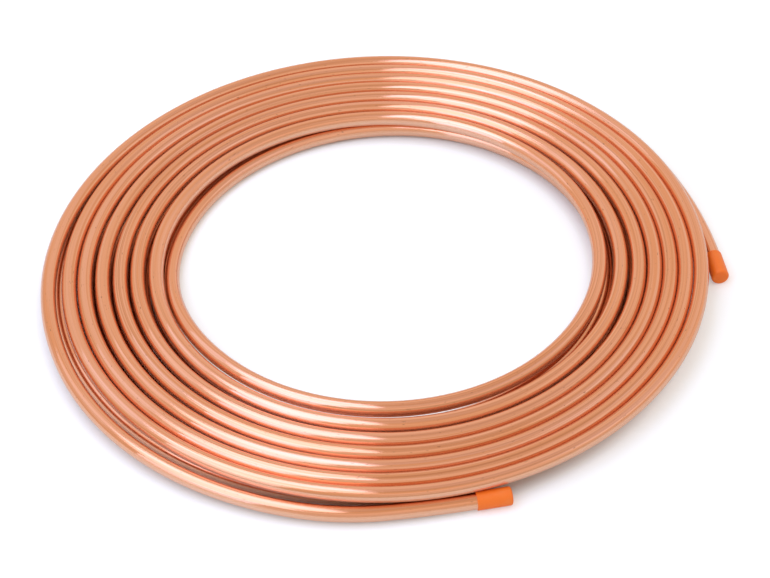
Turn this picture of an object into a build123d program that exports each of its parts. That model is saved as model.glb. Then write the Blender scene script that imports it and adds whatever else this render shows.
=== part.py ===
from build123d import *

from math import atan2, cos, degrees, radians, sin, sqrt
import os

# A coil of soft copper tube, wound in two flat layers and lying on the floor, with a
# push-on plastic cap on each end. Millimetres, +Z up, origin on the floor at the centre.
# Angles are seen from above, counter-clockwise from the right-hand side (+X), and a
# radius is that of the tube's centre line.

# Tube
tube_od = 9.525
tube_wall = 0.813
tube_id = tube_od - 2 * tube_wall

# Push-on end caps
cap_wall = 0.7
cap_clearance = 0.05  # round the tube
cap_length = 20.5
cap_end_thickness = 1.6
cap_edge_round = 1.5
cap_mouth_round = 0.3
cap_bore = tube_od + 2 * cap_clearance
cap_od = cap_bore + 2 * cap_wall
seated_length = cap_length - cap_end_thickness

# Heights of the centre line
layer_gap = 0.1
floor_gap = 0.05  # under the caps
lower_height = tube_od / 2
upper_height = lower_height + tube_od + layer_gap
end_height = cap_od / 2 + floor_gap

# The radius that all turns are laid out from
inner_radius = 142.0

# The turns of each layer where they pass an angle, in the order that the tube runs: how
# far outside that radius the innermost one lies, and the gaps outside each turn
lower_turns = {
    180: (1.2, [0.3, 1.0, 1.4, 1.8, 8.4]),
    315: (-2.2, [0.25, 0.25, 0.25, 0.25, 0.8]),
    45: (0.0, [0.25, 0.25, 0.25, 0.25, 0.25]),
}
upper_turns = {
    315: (-5.5, [4.5, 1.7, 0.3, 0.2, 0.15, 0.15]),
    45: (-4.0, [1.7, 1.8, 0.85, 0.25, 0.2, 0.15]),
    135: (-0.3, [2.0, 1.3, 1.25, 1.25, 0.3]),
    225: (2.3, [2.0, 1.5, 1.5, 1.4, 0.5]),
}

# Climb: two angles, with how far out the tube lies there from where it would touch the
# lower layer's innermost turn, and the share of the height that it has gained
climb_at = {155: (0.9, 0.0), 225: (-1.2, 1.0)}

# Lower loose end: how far it is tucked in from touching the upper layer's outermost turn,
# how far it has closed in by the angle of its first bend, and how far it points inwards
lower_end_tuck = 0.45
lower_end_close_in = 3.95
lower_end_angle = -1.1
lower_end_bend_angle = 45
lower_end_inward = 6.6  # degrees

# Upper loose end: angles on its way down to the floor, with how far out it lies there from
# where it would touch its neighbour, and the share of its height that is left
descent_at = {
    110: (-4.55, 1.0),
    150: (-1.75, 1.0),
    188: (2.25, 1.0),
    222: (4.85, 0.69),
    255: (1.05, 0.22),
}
upper_end_gap = 0.37  # between its cap and the mean radius of the turn above
upper_end_angle = 283.4
upper_end_outward = 4.8  # degrees


def radii(layer, angle):
    """Radii of a layer's turns where they pass an angle, from the innermost outwards."""
    out, gaps = layer[angle]
    found = [inner_radius + out]
    for gap in gaps:
        found.append(found[-1] + tube_od + gap)
    return found


# Where the loose ends and the climb would touch the turn beside them
beside_right = radii(upper_turns, 315)[-1] + tube_od
beside_left = radii(upper_turns, 225)[-1] + tube_od
beside_lower = radii(lower_turns, 180)[0] - tube_od
lower_end_radius = beside_right - lower_end_tuck


def height_at(share):
    """Height of the centre line at a share of the way from the lower to the upper layer."""
    return lower_height + share * (upper_height - lower_height)


def upper_end_radius():
    """Where the upper end's cap lies on the floor under the outermost turn."""
    above = (radii(upper_turns, 225)[-1] + radii(upper_turns, 315)[-1]) / 2
    apart = (cap_od + tube_od) / 2 + upper_end_gap
    return above + sqrt(apart**2 - (upper_height - end_height) ** 2)


def way_points():
    """Angle, radius and height along the tube, from the lower loose end to the upper one."""
    yield lower_end_angle, lower_end_radius, end_height
    yield lower_end_bend_angle, lower_end_radius - lower_end_close_in, height_at(0)
    for turn in reversed(range(len(radii(lower_turns, 45)))):
        for angle in lower_turns:
            yield angle, radii(lower_turns, angle)[turn], height_at(0)
    for angle, (out, share) in climb_at.items():
        yield angle, beside_lower + out, height_at(share)
    for turn in range(len(radii(upper_turns, 45))):
        for angle in upper_turns:
            if turn < len(radii(upper_turns, angle)):
                yield angle, radii(upper_turns, angle)[turn], height_at(1)
    for angle, (out, share) in descent_at.items():
        yield angle, beside_left + out, height_at(share)
    yield upper_end_angle, upper_end_radius(), end_height


def polar(angle, outward, onward, up):
    """A vector from its parts along the radius at an angle, square to it and upwards."""
    turned = radians(angle)
    x = outward * cos(turned) - onward * sin(turned)
    y = outward * sin(turned) + onward * cos(turned)
    return Vector(x, y, up)


def loose_end(point, outward_degrees):
    """A loose end's place, with the level direction in which the tube runs there."""
    angle, radius, height = point
    turned = radians(outward_degrees)
    return polar(angle, radius, 0, height), polar(angle, sin(turned), cos(turned), 0)


def slope(before, here, after, back, on):
    """Slope of a smooth curve through three values, from the steps between them."""
    return ((here - before) / back * on + (after - here) / on * back) / (back + on)


def station(before, here, after):
    """A way point's place, with the direction that its neighbours give the tube there."""
    angle, radius, height = here
    back = radians((angle - before[0]) % 360)
    on = radians((after[0] - angle) % 360)
    outward = slope(before[1], radius, after[1], back, on)
    level = height in (before[2], after[2])
    rise = 0 if level else slope(before[2], height, after[2], back, on)
    return polar(angle, radius, 0, height), polar(angle, outward, radius, rise).normalized()


def end_tangent(start, tangent, end):
    """Direction at the end of the arc that leaves start along tangent and meets end."""
    chord = end - start
    return (chord * (2 * chord.dot(tangent) / chord.dot(chord)) - tangent).normalized()


def meeting_point(start, tangent, end, end_direction):
    """Where two arcs, one from either end, run into each other without a kink."""
    chord = end - start
    both = tangent + end_direction
    a = 4 - both.dot(both)
    b = chord.dot(both)
    reach = (sqrt(b * b + a * chord.dot(chord)) - b) / a
    return (start + tangent * reach + end - end_direction * reach) / 2


def section(place, direction):
    """The tube's cross-section, square to its centre line."""
    return Plane(place, z_dir=direction) * (Circle(tube_od / 2) - Circle(tube_id / 2))


def straight(place, direction, length):
    """A straight run of tube."""
    return extrude(section(place, direction), amount=length, dir=direction)


def bend(start, tangent, end):
    """A bend of tube: its section turned about the centre of the arc to end."""
    chord = end - start
    along = chord.dot(tangent)
    across = chord - tangent * along
    toward_centre = across.normalized()
    centre = start + toward_centre * (chord.dot(chord) / (2 * across.length))
    axis = Axis(centre, tangent.cross(toward_centre))
    angle = degrees(2 * atan2(across.length, along))
    return revolve(section(start, tangent), axis=axis, revolution_arc=angle)


def same_way(one, other):
    return (one - other).length < 1e-6


points = list(way_points())
stations = [
    loose_end(points[0], -lower_end_inward),
    *map(station, points, points[1:], points[2:]),
    loose_end(points[-1], upper_end_outward),
]


def tube_lengths():
    """The straight ends and every bend between them, in the order that the tube runs."""
    start, tangent = stations[0]
    yield straight(start, -tangent, seated_length)
    for place, direction in stations[1:]:
        if not same_way(end_tangent(start, tangent, place), direction):
            middle = meeting_point(start, tangent, place, direction)
            yield bend(start, tangent, middle)
            start, tangent = middle, end_tangent(start, tangent, middle)
        yield bend(start, tangent, place)
        start, tangent = place, direction
    yield straight(start, tangent, seated_length)


def copper_tube():
    """One length of tube, its bends joined end to end."""
    first, *rest = tube_lengths()
    return first.fuse(*rest)


def end_cap(mouth, direction):
    """A push-on cap, its closed end against the end of the tube."""
    bottom = (Align.CENTER, Align.CENTER, Align.MIN)
    cap = Cylinder(cap_od / 2, cap_length, align=bottom)
    rims = cap.edges().filter_by(GeomType.CIRCLE).sort_by(Axis.Z)
    cap = fillet(rims[-1], cap_edge_round)
    cap = fillet(cap.edges().filter_by(GeomType.CIRCLE).sort_by(Axis.Z)[0], cap_mouth_round)
    cap -= Cylinder(cap_bore / 2, seated_length, align=bottom)
    return Plane(mouth, z_dir=direction) * cap


def write(name, shape):
    export_step(shape, f"parts/{name}.step")
    print(name, "volume", round(shape.volume), "mm3")


os.makedirs("parts", exist_ok=True)
tube = copper_tube()
wall_area = (Circle(tube_od / 2) - Circle(tube_id / 2)).area
print("tube length", round(tube.volume / wall_area), "mm")
write("copper_tube", tube)
write("end_cap_lower", end_cap(stations[0][0], -stations[0][1]))
write("end_cap_upper", end_cap(*stations[-1]))
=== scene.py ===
import math

import bpy
import numpy as np
from mathutils import Matrix, Vector


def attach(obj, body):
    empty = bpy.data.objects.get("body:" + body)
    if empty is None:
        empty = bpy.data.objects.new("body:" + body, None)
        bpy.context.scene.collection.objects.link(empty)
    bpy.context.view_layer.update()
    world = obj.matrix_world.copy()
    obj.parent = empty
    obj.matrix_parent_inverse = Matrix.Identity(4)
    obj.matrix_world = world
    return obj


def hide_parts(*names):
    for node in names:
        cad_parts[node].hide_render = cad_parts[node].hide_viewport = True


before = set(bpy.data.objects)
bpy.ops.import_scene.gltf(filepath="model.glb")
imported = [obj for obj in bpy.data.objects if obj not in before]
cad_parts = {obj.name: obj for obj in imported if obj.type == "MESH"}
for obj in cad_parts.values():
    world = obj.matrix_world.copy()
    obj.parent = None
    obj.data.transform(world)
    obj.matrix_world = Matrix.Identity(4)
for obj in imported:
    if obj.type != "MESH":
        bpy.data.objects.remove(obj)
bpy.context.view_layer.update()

mm = 0.001
straightUp = (0, 0, 1)
straightDown = (0, 0, -1)
black = (0, 0, 0, 1)
white = (1, 1, 1, 1)

# The camera stands where the photograph was taken from, with its slight tilt to one side.
camera = {
    "distance": 1.313,       # from the middle of the coil, m
    "elevation": 43.06,      # degrees above the floor
    "roll": -2.39,           # degrees
    "lens": 96.3,            # mm
    "sensor": 36,            # mm
    "reach": (0.05, 50),     # from the nearest to the farthest that it sees, m
    "coilRight": -0.00109,   # how far the coil's middle lies off the picture's middle, m
    "coilUp": 0.01075,
}


def makeCamera():
    lift, roll = math.radians(camera["elevation"]), math.radians(camera["roll"])
    ahead = Vector((0, math.cos(lift), -math.sin(lift)))
    right = Vector((1, 0, 0))
    up = right.cross(ahead)
    place = -(ahead * camera["distance"] + right * camera["coilRight"] + up * camera["coilUp"])
    tiltedRight = right * math.cos(roll) + up * math.sin(roll)
    tiltedUp = up * math.cos(roll) - right * math.sin(roll)
    turn = Matrix((tiltedRight, tiltedUp, -ahead)).transposed()
    data = bpy.data.cameras.new("studioCamera")
    data.sensor_width = camera["sensor"]
    data.lens = camera["lens"]
    data.clip_start, data.clip_end = camera["reach"]
    made = bpy.data.objects.new("studioCamera", data)
    made.matrix_world = Matrix.Translation(place) @ turn.to_4x4()
    bpy.context.scene.collection.objects.link(made)
    bpy.context.scene.camera = made


makeCamera()
print("camera done")


# Shader maths. A Value wraps one socket, so that a mask or a mix of noises reads as a sum.
class Value:
    def __init__(self, graph, socket):
        self.graph, self.socket = graph, socket

    def maths(self, operation, first, second):
        return self.graph.add("ShaderNodeMath", {"operation": operation}, {0: first, 1: second})

    def __add__(self, other):
        return self.maths("ADD", self, other)

    def __sub__(self, other):
        return self.maths("SUBTRACT", self, other)

    def __rsub__(self, other):
        return self.maths("SUBTRACT", other, self)

    def __mul__(self, other):
        return self.maths("MULTIPLY", self, other)

    __radd__ = __add__
    __rmul__ = __mul__


class Graph:
    def __init__(self, tree):
        self.nodes, self.links = tree.nodes, tree.links
        self.nodes.clear()

    def add(self, kind, settings, sockets, output=0):
        node = self.nodes.new(kind)
        for name, setting in settings.items():
            if name == "stops":
                self.fillRamp(node.color_ramp, setting)
            else:
                setattr(node, name, setting)
        for name, value in sockets.items():
            if isinstance(value, Value):
                self.links.new(value.socket, node.inputs[name])
            else:
                node.inputs[name].default_value = value
        return Value(self, node.outputs[output]) if len(node.outputs) else None

    def fillRamp(self, ramp, stops):
        while len(ramp.elements) < len(stops):
            ramp.elements.new(1)
        for element, (place, level) in zip(ramp.elements, stops):
            element.position = place
            element.color = (level, level, level, 1)

    def ramp(self, value, *stops):
        return self.add("ShaderNodeValToRGB", {"stops": stops}, {"Fac": value})

    def vectors(self, operation, one, other, output=0):
        return self.add("ShaderNodeVectorMath", {"operation": operation}, {0: one, 1: other}, output)

    def noise(self, place, fineness, detail, roughness=0.5):
        stretched = self.vectors("MULTIPLY", place, fineness)
        grain = {"Vector": stretched, "Scale": 1, "Detail": detail, "Roughness": roughness}
        return self.add("ShaderNodeTexNoise", {}, grain)

    def along(self, vector, direction):
        return self.vectors("DOT_PRODUCT", vector, direction, "Value")

    def distance(self, place, middle):
        return self.vectors("DISTANCE", place, middle, "Value")

    def mix(self, amount, one, other):
        both = {"Factor": amount, 6: one, 7: other}
        return self.add("ShaderNodeMix", {"data_type": "RGBA"}, both, output=2)

    def bump(self, height, depth, strength):
        return self.add("ShaderNodeBump", {}, {"Height": height, "Distance": depth, "Strength": strength})

    def ray(self, kind):
        return self.add("ShaderNodeLightPath", {}, {}, kind)

    def finish(self, sockets):
        surface = self.add("ShaderNodeBsdfPrincipled", {}, sockets)
        self.add("ShaderNodeOutputMaterial", {}, {"Surface": surface})


def makeMaterial(name):
    material = bpy.data.materials.new(name)
    material.use_nodes = True
    return material, Graph(material.node_tree)


# Copper tube: one length, wound inwards on the floor and outwards again on top. Lengths are
# in mm, angles in degrees from the coil's right-hand side, and a radius is that of the
# tube's centre line.
tube = {
    "diameter": 9.525,
    "layerGap": 0.1,
    "innerRadius": 142.0,
    # At each angle, how far outside that the innermost turn lies, and the gap outside each turn
    "lowerTurns": {
        180: (1.2, (0.3, 1.0, 1.4, 1.8, 8.4)),
        315: (-2.2, (0.25, 0.25, 0.25, 0.25, 0.8)),
        45: (0.0, (0.25, 0.25, 0.25, 0.25, 0.25)),
    },
    "upperTurns": {
        315: (-5.5, (4.5, 1.7, 0.3, 0.2, 0.15, 0.15)),
        45: (-4.0, (1.7, 1.8, 0.85, 0.25, 0.2, 0.15)),
        135: (-0.3, (2.0, 1.3, 1.25, 1.25, 0.3)),
        225: (2.3, (2.0, 1.5, 1.5, 1.4, 0.5)),
    },
    # At each angle, how far out the tube lies from touching the turn beside it, and the share
    # of the rise between the layers
    "climb": {155: (0.9, 0.0), 225: (-1.2, 1.0)},
    "descent": {
        110: (-4.55, 1.0),
        150: (-1.75, 1.0),
        188: (2.25, 1.0),
        222: (4.85, 0.69),
        255: (1.05, 0.22),
    },
    "lowerEndAngle": -1.1,
    "lowerEndTuck": 0.45,      # in from touching the upper layer's outermost turn
    "lowerEndInward": 6.6,     # degrees
    "lowerBendAngle": 45,
    "lowerBendCloseIn": 3.95,  # how far the tube has closed in by that angle
    "upperEndAngle": 283.4,
    "upperEndGap": 0.37,       # between its cap and the turn above
    "upperEndOutward": 4.8,    # degrees
    "straightEnd": 18.9,       # inside each cap
    "capDiameter": 11.025,
    "capOffFloor": 0.05,
    "sidesRound": 24,          # of the mesh
    "ringSpacing": 6.5,
}

lowerHeight = tube["diameter"] / 2
layerRise = tube["diameter"] + tube["layerGap"]
endHeight = tube["capDiameter"] / 2 + tube["capOffFloor"]


def heightAt(share):
    return lowerHeight + share * layerRise


def turnRadii(layer, angle):
    out, gaps = tube[layer][angle]
    found = [tube["innerRadius"] + out]
    for gap in gaps:
        found.append(found[-1] + tube["diameter"] + gap)
    return found


# Where the loose ends and the climb would touch the turn beside them
besideRight = turnRadii("upperTurns", 315)[-1] + tube["diameter"]
besideLeft = turnRadii("upperTurns", 225)[-1] + tube["diameter"]
besideLower = turnRadii("lowerTurns", 180)[0] - tube["diameter"]
lowerEndRadius = besideRight - tube["lowerEndTuck"]


def upperEndRadius():      # its cap lies on the floor, under the outermost turn
    above = (turnRadii("upperTurns", 225)[-1] + turnRadii("upperTurns", 315)[-1]) / 2
    apart = (tube["capDiameter"] + tube["diameter"]) / 2 + tube["upperEndGap"]
    return above + math.sqrt(apart ** 2 - (heightAt(1) - endHeight) ** 2)


def wayPoints():           # angle, radius and height, from the lower loose end to the upper one
    yield tube["lowerEndAngle"], lowerEndRadius, endHeight
    yield tube["lowerBendAngle"], lowerEndRadius - tube["lowerBendCloseIn"], heightAt(0)
    for turn in reversed(range(len(turnRadii("lowerTurns", 45)))):
        for angle in tube["lowerTurns"]:
            yield angle, turnRadii("lowerTurns", angle)[turn], heightAt(0)
    for angle, (out, share) in tube["climb"].items():
        yield angle, besideLower + out, heightAt(share)
    for turn in range(len(turnRadii("upperTurns", 45))):
        for angle in tube["upperTurns"]:
            if turn < len(turnRadii("upperTurns", angle)):
                yield angle, turnRadii("upperTurns", angle)[turn], heightAt(1)
    for angle, (out, share) in tube["descent"].items():
        yield angle, besideLeft + out, heightAt(share)
    yield tube["upperEndAngle"], upperEndRadius(), endHeight


def polar(angle, outward, onward, up):
    turned = math.radians(angle)
    x = outward * math.cos(turned) - onward * math.sin(turned)
    y = outward * math.sin(turned) + onward * math.cos(turned)
    return Vector((x, y, up))


def slope(before, here, after, back, on):
    return ((here - before) / back * on + (after - here) / on * back) / (back + on)


# A way point's place, with the direction that its neighbours give the tube there
def station(before, here, after):
    angle, radius, height = here
    back, on = math.radians((angle - before[0]) % 360), math.radians((after[0] - angle) % 360)
    outward = slope(before[1], radius, after[1], back, on)
    level = height in (before[2], after[2])
    rise = 0 if level else slope(before[2], height, after[2], back, on)
    return polar(angle, radius, 0, height) * mm, polar(angle, outward, radius, rise).normalized()


def looseEnd(point, outwardDegrees):
    angle, radius, height = point
    turned = math.radians(outwardDegrees)
    direction = polar(angle, math.sin(turned), math.cos(turned), 0)
    return polar(angle, radius, 0, height) * mm, direction


def tubeStations():
    points = list(wayPoints())
    lowerEnd = looseEnd(points[0], -tube["lowerEndInward"])
    upperEnd = looseEnd(points[-1], tube["upperEndOutward"])
    between = [station(*three) for three in zip(points, points[1:], points[2:])]
    return [lowerEnd, *between, upperEnd]


# Places and directions along the arc that leaves start along tangent and meets end, short
# of end itself, and the direction there
def arcPoints(start, tangent, end):
    chord = end - start
    along = chord.dot(tangent)
    across = chord - tangent * along
    inward = across.normalized()
    radius = chord.length_squared / (2 * across.length)
    angle = 2 * math.atan2(across.length, along)
    steps = max(1, round(radius * angle / (tube["ringSpacing"] * mm)))
    points = []
    for step in range(steps):
        turned = angle * step / steps
        place = start + inward * radius * (1 - math.cos(turned)) + tangent * radius * math.sin(turned)
        points.append((place, tangent * math.cos(turned) + inward * math.sin(turned)))
    return points, tangent * math.cos(angle) + inward * math.sin(angle)


# Where two arcs, one from either end, run into each other without a kink. The reach to either
# side of it solves a * reach ** 2 + 2 * b * reach = the square of the chord.
def meetingPoint(start, tangent, end, endDirection):
    chord, both = end - start, tangent + endDirection
    a, b = 4 - both.length_squared, chord.dot(both)
    reach = (math.sqrt(b * b + a * chord.length_squared) - b) / a
    return (start + tangent * reach + end - endDirection * reach) / 2


def tubeCentreLine():
    stations = tubeStations()
    start, tangent = stations[0]
    straight = tube["straightEnd"] * mm
    points = [(start - tangent * straight, tangent)]
    for place, direction in stations[1:]:
        middle = meetingPoint(start, tangent, place, direction)
        firstArc, turned = arcPoints(start, tangent, middle)
        secondArc, turned = arcPoints(middle, turned, place)
        points += firstArc + secondArc
        start, tangent = place, direction
    points += [(start, tangent), (start + tangent * straight, tangent)]
    return points


def tubeFaces(rings, sides):
    faces = []
    for ring in range(rings - 1):
        low, high = ring * sides, (ring + 1) * sides
        for side in range(sides):
            beside = (side + 1) % sides
            faces.append((low + side, low + beside, high + beside, high + side))
    faces.append(tuple(reversed(range(sides))))
    faces.append(tuple(range((rings - 1) * sides, rings * sides)))
    return faces


# The attribute drawn holds where a point lies round the tube, its second part upwards, and
# how far along it.
def makeTube():
    points = tubeCentreLine()
    radius, sides = tube["diameter"] / 2 * mm, tube["sidesRound"]
    places, drawn, along = [], [], 0.0
    for index, (place, tangent) in enumerate(points):
        if index:
            along += (place - points[index - 1][0]).length
        outward = tangent.cross(Vector(straightUp)).normalized()
        upward = outward.cross(tangent)
        for side in range(sides):
            turned = 2 * math.pi * side / sides
            places.append(place + outward * radius * math.cos(turned) + upward * radius * math.sin(turned))
            drawn.append((math.cos(turned), math.sin(turned), along))
    faces = tubeFaces(len(points), sides)
    mesh = bpy.data.meshes.new("coiledTube")
    mesh.from_pydata(places, [], faces)
    mesh.shade_smooth()
    attribute = mesh.attributes.new("drawn", "FLOAT_VECTOR", "POINT")
    attribute.data.foreach_set("vector", np.array(drawn, np.float32).ravel())
    made = bpy.data.objects.new("coiledTube", mesh)
    bpy.context.scene.collection.objects.link(made)
    print("tube", round(along, 2), "m,", len(faces), "faces")
    return made


# Drawn copper. A noise gives how fine it is round the tube and along it, its detail and,
# where it isn't 0.5, the roughness of that. A tone gives its colour and two levels of its
# noise, with how much of the tone shows at each.
copper = {
    "colour": (0.91, 0.45, 0.27, 1),
    "noises": {
        "pinkBands": ((1.6, 1.6, 4), 2),
        "orangeBands": ((2.4, 2.4, 6), 2),
        "streaks": ((4, 4, 2), 3, 0.6),
        "fineLines": ((18, 18, 6), 3, 0.6),
        "flecks": ((7, 7, 260), 2),
    },
    "tones": {
        "pinkBands": ((0.94, 0.49, 0.33, 1), (0.42, 0), (0.60, 1)),
        "orangeBands": ((0.88, 0.40, 0.21, 1), (0.48, 0), (0.64, 1)),
        "streaks": ((0.72, 0.32, 0.16, 1), (0.50, 0), (0.70, 0.9)),
        "flecks": ((0.22, 0.10, 0.05, 1), (0.70, 0), (0.75, 0.8)),
    },
    # The sides and underside are painted paler, a painted reflection of the floor and painted bounce light
    # that lighten the grooves between turns.
    "flank": ((0.1, 1), (0.55, 0)),      # the sides and underside, by how far they face upwards
    "paintedFlankLight": (0.93, 0.54, 0.36, 1),
    "roughness": 0.065,
    "streakRoughness": 0.06,             # these add to it, this much at most
    "fineRoughness": 0.04,
    "flankRoughness": 0.16,
    "streakHeight": 2,                   # in the depth below
    "fineHeight": 0.5,
    "drawnDepth": 0.035 * mm,
    "drawnStrength": 0.6,
    "drawnBlur": 1.0,                    # how much more a reflection blurs one way than the other
    "drawnBlurTurn": 0.25,               # of a full turn, so that it blurs across the tube
}


def makeCopper():
    material, graph = makeMaterial("drawnCopper")
    drawn = graph.add("ShaderNodeAttribute", {"attribute_name": "drawn"}, {}, "Vector")
    noises = {name: graph.noise(drawn, *grain) for name, grain in copper["noises"].items()}
    streaks, fine = noises["streaks"], noises["fineLines"]
    facingUp = graph.along(drawn, (0, 1, 0))      # the second part of drawn
    flank = graph.ramp(facingUp, *copper["flank"])
    tint = copper["colour"]
    for name, (colour, *shown) in copper["tones"].items():
        tint = graph.mix(graph.ramp(noises[name], *shown), tint, colour)
    # painted reflection and bounce light: the sides and underside paler than the copper's own colour
    tint = graph.mix(flank, tint, copper["paintedFlankLight"])
    rough = copper["roughness"] + flank * copper["flankRoughness"]
    rough += streaks * copper["streakRoughness"] + fine * copper["fineRoughness"]
    lines = streaks * copper["streakHeight"] + fine * copper["fineHeight"]
    graph.finish({
        "Base Color": tint,
        "Roughness": rough,
        "Normal": graph.bump(lines, copper["drawnDepth"], copper["drawnStrength"]),
        "Metallic": 1.0,
        "Anisotropic": copper["drawnBlur"],
        "Anisotropic Rotation": copper["drawnBlurTurn"],
    })
    return material


coiledTube = makeTube()
coiledTube.data.materials.append(makeCopper())
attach(coiledTube, "root")
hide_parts("copper_tube")


# Push-on caps of soft orange plastic, with paler worn clouds and fine pores
cap = {
    "colour": (1.0, 0.19, 0.012, 1),
    "worn": (0.95, 0.22, 0.03, 1),
    "clouds": ((160, 160, 160), 2),      # fineness and detail
    "pores": ((1800, 1800, 1800), 2),
    "wornShown": ((0.45, 0), (0.75, 0.6)),
    "roughness": 0.41,
    "cloudRoughness": 0.08,              # the clouds add this much at most
    "poreDepth": 0.1 * mm,
    "poreStrength": 0.1,
    "gloss": 0.4,
}


def makeCapPlastic():
    material, graph = makeMaterial("orangePlastic")
    place = graph.add("ShaderNodeTexCoord", {}, {}, "Object")
    clouds = graph.noise(place, *cap["clouds"])
    pores = graph.noise(place, *cap["pores"])
    graph.finish({
        "Base Color": graph.mix(graph.ramp(clouds, *cap["wornShown"]), cap["colour"], cap["worn"]),
        "Roughness": cap["roughness"] + clouds * cap["cloudRoughness"],
        "Normal": graph.bump(pores, cap["poreDepth"], cap["poreStrength"]),
        "Specular IOR Level": cap["gloss"],
    })
    return material


capPlastic = makeCapPlastic()
for name in ("end_cap_lower", "end_cap_upper"):
    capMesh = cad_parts[name].data
    capMesh.materials.clear()
    capMesh.materials.append(capPlastic)
print("materials done")

# Studio: a white floor, three softboxes side by side over the left of the coil, four fills,
# and a surround that is white to the camera, but warmer and dimmer in reflections. The floor's glow is left
# out under the turns and fades back in beside them, a painted shade that keeps the gaps between them dark
# and darkens the floor just inside and outside the coil. Metres.
studio = {
    "floorSize": 12,
    "floorDrop": 0.05 * mm,                       # below the coil
    "floorWhite": (0.80, 0.78, 0.71, 1),
    "floorRoughness": 0.9,
    "floorGlow": (0.34, 0.34, 0.34, 1),           # only in what the camera and reflections see
    "glowMirrored": 0.3,                          # the share of it that reflections see
    # painted shade: no glow on the floor between these radii, under and just beside the turns
    "glowInside": ((0, 0, 0), (0.128, 0.137)),    # a middle, with the radii where it fades out
    "glowOutside": ((-0.0116, -0.0031, 0), (0.200, 0.210)),    # and where it fades in again
    "surroundLight": (0.77, 0.755, 0.765, 1),
    "surroundReflected": (0.85, 0.745, 0.655, 1),
    "surroundLow": (0.62, 0.60, 0.53, 1),         # reflected at floor level on the darkest side
    "surroundOverhead": (0.68, 0.57, 0.49, 1),    # reflected overhead, right of the softboxes
    "darkestSide": (0.45, -0.89, 0),
    "dimOverhead": (0.30, 0.10, 0.95),
    "lowFades": ((0, 0), (0.55, 1)),              # by how far a direction points upwards
    "sideFades": ((0, 0), (0.9, 1)),              # by how near it is to the darkest side
    "overheadFades": ((0.8, 0), (0.97, 1)),       # by how near it is to dimOverhead
    "softboxColour": (0.46, 0.60, 1.0),
    "fillColour": (0.30, 0.52, 1.0),
    "softboxes": {                                # a lamp faces down unless it says otherwise
        "softboxRight": {"place": (-0.29, -0.075, 1.3), "size": (0.38, 1.5), "power": 3.8},
        "softboxMiddle": {"place": (-0.73, -0.455, 1.3), "size": (0.50, 1.6), "power": 5.4},
        "softboxLeft": {"place": (-1.23, -0.65, 1.3), "size": (0.50, 1.35), "power": 3.7},
    },
    "fills": {
        "backLeft": {"place": (-1.565, 0.515, 1.3), "size": (1.17, 0.97), "power": 2.1},
        "backMiddle": {"place": (-0.74, 0.62, 1.3), "size": (0.48, 0.55), "power": 0.4},
        "leftFill": {"place": (-1.25, -1, 0.75), "size": (1.1, 0.8), "power": 4.5, "facing": (1, 0.8, -0.5)},
        "rightFill": {"place": (1.4, -0.2, 1.2), "size": (1.3, 1.1), "power": 1.0, "facing": (-1, 0, -0.8)},
    },
}


def beyond(graph, place, middle, radii):
    start, end = radii
    return graph.ramp(graph.distance(place, middle), (start, 0), (end, 1))


def makeFloorWhite():
    material, graph = makeMaterial("floorWhite")
    place = graph.add("ShaderNodeTexCoord", {}, {}, "Object")
    # the glow fades out under and beside the turns, a painted shade on the floor
    inside = 1 - beyond(graph, place, *studio["glowInside"])
    outside = beyond(graph, place, *studio["glowOutside"])
    seen = graph.ray("Is Camera Ray") + graph.ray("Is Glossy Ray") * studio["glowMirrored"]
    graph.finish({
        "Base Color": studio["floorWhite"],
        "Roughness": studio["floorRoughness"],
        "Specular IOR Level": 0.0,
        "Emission Color": graph.mix(seen * (inside + outside), black, studio["floorGlow"]),
        "Emission Strength": 1,
    })
    return material


def makeFloor():
    half = studio["floorSize"] / 2
    mesh = bpy.data.meshes.new("studioFloor")
    corners = [(-half, -half, 0), (half, -half, 0), (half, half, 0), (-half, half, 0)]
    mesh.from_pydata(corners, [], [(0, 1, 2, 3)])
    mesh.materials.append(makeFloorWhite())
    floor = bpy.data.objects.new("studioFloor", mesh)
    floor.location.z = -studio["floorDrop"]
    bpy.context.scene.collection.objects.link(floor)


def makeSurround():
    world = bpy.data.worlds.new("surround")
    world.use_nodes = True
    graph = Graph(world.node_tree)
    toward = graph.add("ShaderNodeTexCoord", {}, {}, "Generated")
    low = 1 - graph.ramp(graph.along(toward, straightUp), *studio["lowFades"])
    side = graph.ramp(graph.along(toward, studio["darkestSide"]), *studio["sideFades"])
    overhead = graph.ramp(graph.along(toward, studio["dimOverhead"]), *studio["overheadFades"])
    reflected = graph.mix(low * side, studio["surroundReflected"], studio["surroundLow"])
    reflected = graph.mix(overhead, reflected, studio["surroundOverhead"])
    colour = graph.mix(graph.ray("Is Glossy Ray"), studio["surroundLight"], reflected)
    colour = graph.mix(graph.ray("Is Camera Ray"), colour, white)
    background = graph.add("ShaderNodeBackground", {}, {"Color": colour, "Strength": 1})
    graph.add("ShaderNodeOutputWorld", {}, {"Surface": background})
    bpy.context.scene.world = world


def makeLamps(lamps, colour):
    for name, lamp in lamps.items():
        light = bpy.data.lights.new(name, "AREA")
        light.shape = "RECTANGLE"
        light.size, light.size_y = lamp["size"]
        light.energy = lamp["power"]
        light.color = colour
        box = bpy.data.objects.new(name, light)
        box.location = lamp["place"]
        facing = Vector(lamp.get("facing", straightDown))
        box.rotation_euler = facing.to_track_quat("-Z", "Y").to_euler()
        bpy.context.scene.collection.objects.link(box)


makeFloor()
makeSurround()
makeLamps(studio["softboxes"], studio["softboxColour"])
makeLamps(studio["fills"], studio["fillColour"])
bpy.context.scene.view_settings.view_transform = "Standard"
print("studio done")
